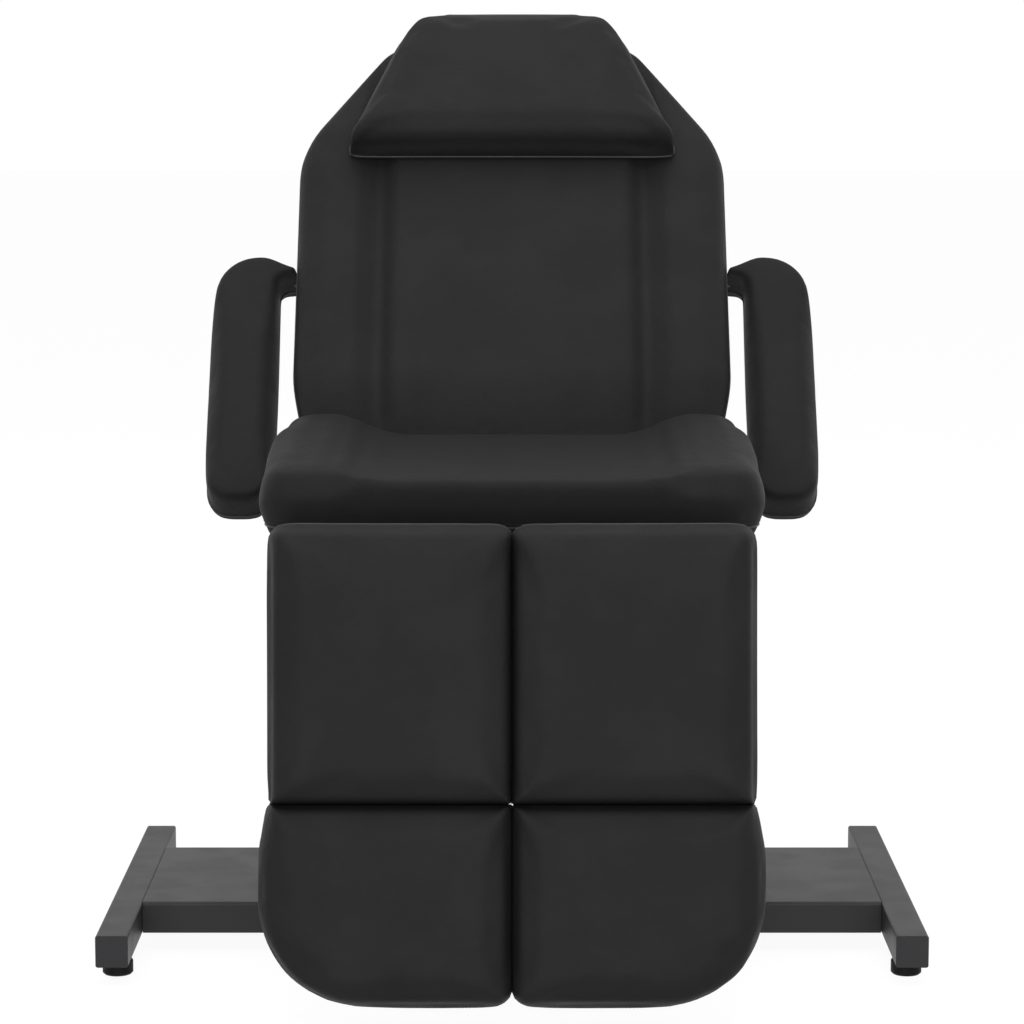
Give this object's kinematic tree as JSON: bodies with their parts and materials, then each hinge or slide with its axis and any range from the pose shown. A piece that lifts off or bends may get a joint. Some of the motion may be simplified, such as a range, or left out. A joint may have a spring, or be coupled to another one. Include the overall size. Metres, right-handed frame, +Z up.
{
  "type": "beauty treatment chair",
  "caption": "Upholstered reclining treatment chair with split leg and foot rests, swing arms and head pillow on a low H-shaped steel base.",
  "frame": {"origin": "on the floor, at the middle of the chair's bounding box", "axes": "+Z up, the chair faces -Y, +X to the right of a viewer in front of it"},
  "size_m": [1.02, 1.1418, 1.1988],
  "materials": {
    "upholstery": "satin",
    "base_paint": "satin",
    "frame_paint": "satin",
    "bright_steel": "satin",
    "plated_rod": "polished",
    "plywood": "matte",
    "black_plastic": "matte"
  },
  "bodies": {
    "base": {"base_rail_left": "base_paint", "base_rail_right": "base_paint", "rail_end_caps": "base_paint", "base_crosspiece": "base_paint", "levelling_bushes": "bright_steel", "pedestal_post_left": "frame_paint", "pedestal_post_right": "frame_paint", "pedestal_bolts": "bright_steel", "pedestal_top_plate": "frame_paint", "seat_rail_left": "frame_paint", "seat_rail_right": "frame_paint", "seat_screws": "bright_steel", "seat_board": "plywood", "seat_cushion": "upholstery", "leg_hinge_rod": "bright_steel", "leg_hinge_centre_bracket": "frame_paint", "leg_friction_washers": "black_plastic", "back_hinge_bolts": "bright_steel", "gas_lower_bracket": "frame_paint", "gas_lower_pin": "bright_steel"},
    "backrest": {"back_rail_left": "frame_paint", "back_rail_right": "frame_paint", "back_cross_tube_lower": "frame_paint", "back_cross_tube_upper": "frame_paint", "arm_socket_left": "frame_paint", "arm_socket_right": "frame_paint", "gas_upper_bracket": "frame_paint", "gas_upper_pins": "bright_steel", "back_screws": "bright_steel", "back_board": "plywood", "back_cushion": "upholstery"},
    "pillow": {"head_pillow": "upholstery"},
    "spring_cylinder": {"gas_cylinder": "frame_paint"},
    "spring_rod": {"gas_piston_rod": "plated_rod"},
    "release_lever": {"recline_lever": "frame_paint", "recline_lever_grip": "black_plastic"},
    "foot_front_left": {"levelling_foot_front_left": "black_plastic"},
    "foot_front_right": {"levelling_foot_front_right": "black_plastic"},
    "foot_rear_left": {"levelling_foot_rear_left": "black_plastic"},
    "foot_rear_right": {"levelling_foot_rear_right": "black_plastic"},
    "arm_left": {"arm_tube_left": "frame_paint", "arm_pad_left": "upholstery"},
    "arm_knob_left": {"arm_knob_left": "black_plastic"},
    "leg_knob_left": {"leg_knob_left": "black_plastic"},
    "leg_rest_left": {"leg_frame_left": "frame_paint", "leg_board_left": "plywood", "leg_pad_left": "upholstery"},
    "foot_rest_left": {"foot_bracket_left": "frame_paint", "foot_board_left": "plywood", "foot_pad_left": "upholstery"},
    "arm_right": {"arm_tube_right": "frame_paint", "arm_pad_right": "upholstery"},
    "arm_knob_right": {"arm_knob_right": "black_plastic"},
    "leg_knob_right": {"leg_knob_right": "black_plastic"},
    "leg_rest_right": {"leg_frame_right": "frame_paint", "leg_board_right": "plywood", "leg_pad_right": "upholstery"},
    "foot_rest_right": {"foot_bracket_right": "frame_paint", "foot_board_right": "plywood", "foot_pad_right": "upholstery"}
  },
  "joints": [
    {"name": "recline", "type": "hinge", "parent": "base", "child": "backrest", "pos_m": [0, 0.204, 0.575], "axis": [-1, 0, 0], "range_deg": [0, 54]},
    {"name": "spring_cylinder_tilt", "type": "hinge", "parent": "base", "child": "spring_cylinder", "pos_m": [0, -0.101, 0.45], "axis": [-1, 0, 0], "range_deg": [0, 11]},
    {"name": "spring_rod_tilt", "type": "hinge", "parent": "backrest", "child": "spring_rod", "pos_m": [0, 0.30351, 0.56821], "axis": [-1, 0, 0], "range_deg": [-45, 0]},
    {"name": "release_lever_tip", "type": "hinge", "parent": "backrest", "child": "release_lever", "pos_m": [0, 0.29779, 0.61563], "axis": [-1, 0, 0], "range_deg": [0, 12], "stiffness_Nm_per_rad": 2, "springref_deg": -14.32},
    {"name": "pillow_lift", "type": "slide", "parent": "backrest", "child": "pillow", "axis": [0, -0.809, 0.5878], "range_m": [0, 0.12]},
    {"name": "arm_swing_left", "type": "hinge", "parent": "backrest", "child": "arm_left", "pos_m": [-0.296, 0.37857, 0.81528], "axis": [-1, 0, 0], "range_deg": [0, 90]},
    {"name": "arm_knob_turn_left", "type": "hinge", "parent": "backrest", "child": "arm_knob_left", "pos_m": [-0.24, 0.40284, 0.79764], "axis": [0, -0.809, 0.5878], "continuous": true},
    {"name": "leg_knob_turn_left", "type": "hinge", "parent": "base", "child": "leg_knob_left", "pos_m": [-0.203, -0.416, 0.545], "axis": [1, 0, 0], "continuous": true},
    {"name": "leg_raise_left", "type": "hinge", "parent": "base", "child": "leg_rest_left", "pos_m": [-0.1435, -0.416, 0.545], "axis": [-1, 0, 0], "range_deg": [0, 82]},
    {"name": "foot_fold_left", "type": "hinge", "parent": "leg_rest_left", "child": "foot_rest_left", "pos_m": [-0.1435, -0.45761, 0.24891], "axis": [1, 0, 0], "range_deg": [0, 90]},
    {"name": "arm_swing_right", "type": "hinge", "parent": "backrest", "child": "arm_right", "pos_m": [0.296, 0.37857, 0.81528], "axis": [-1, 0, 0], "range_deg": [0, 90]},
    {"name": "arm_knob_turn_right", "type": "hinge", "parent": "backrest", "child": "arm_knob_right", "pos_m": [0.24, 0.40284, 0.79764], "axis": [0, -0.809, 0.5878], "continuous": true},
    {"name": "leg_knob_turn_right", "type": "hinge", "parent": "base", "child": "leg_knob_right", "pos_m": [0.203, -0.416, 0.545], "axis": [1, 0, 0], "continuous": true},
    {"name": "leg_raise_right", "type": "hinge", "parent": "base", "child": "leg_rest_right", "pos_m": [0.1435, -0.416, 0.545], "axis": [-1, 0, 0], "range_deg": [0, 82]},
    {"name": "foot_fold_right", "type": "hinge", "parent": "leg_rest_right", "child": "foot_rest_right", "pos_m": [0.1435, -0.45761, 0.24891], "axis": [1, 0, 0], "range_deg": [0, 90]},
    {"name": "foot_front_left_height", "type": "slide", "parent": "base", "child": "foot_front_left", "axis": [0, 0, -1], "range_m": [0, 0.012]},
    {"name": "foot_front_right_height", "type": "slide", "parent": "base", "child": "foot_front_right", "axis": [0, 0, -1], "range_m": [0, 0.012]},
    {"name": "foot_rear_left_height", "type": "slide", "parent": "base", "child": "foot_rear_left", "axis": [0, 0, -1], "range_m": [0, 0.012]},
    {"name": "foot_rear_right_height", "type": "slide", "parent": "base", "child": "foot_rear_right", "axis": [0, 0, -1], "range_m": [0, 0.012]}
  ],
  "couplings": [
    {"joint": "spring_cylinder_tilt", "follows": "recline", "ratio": 0.1923},
    {"joint": "spring_rod_tilt", "follows": "recline", "ratio": -0.8077}
  ]
}
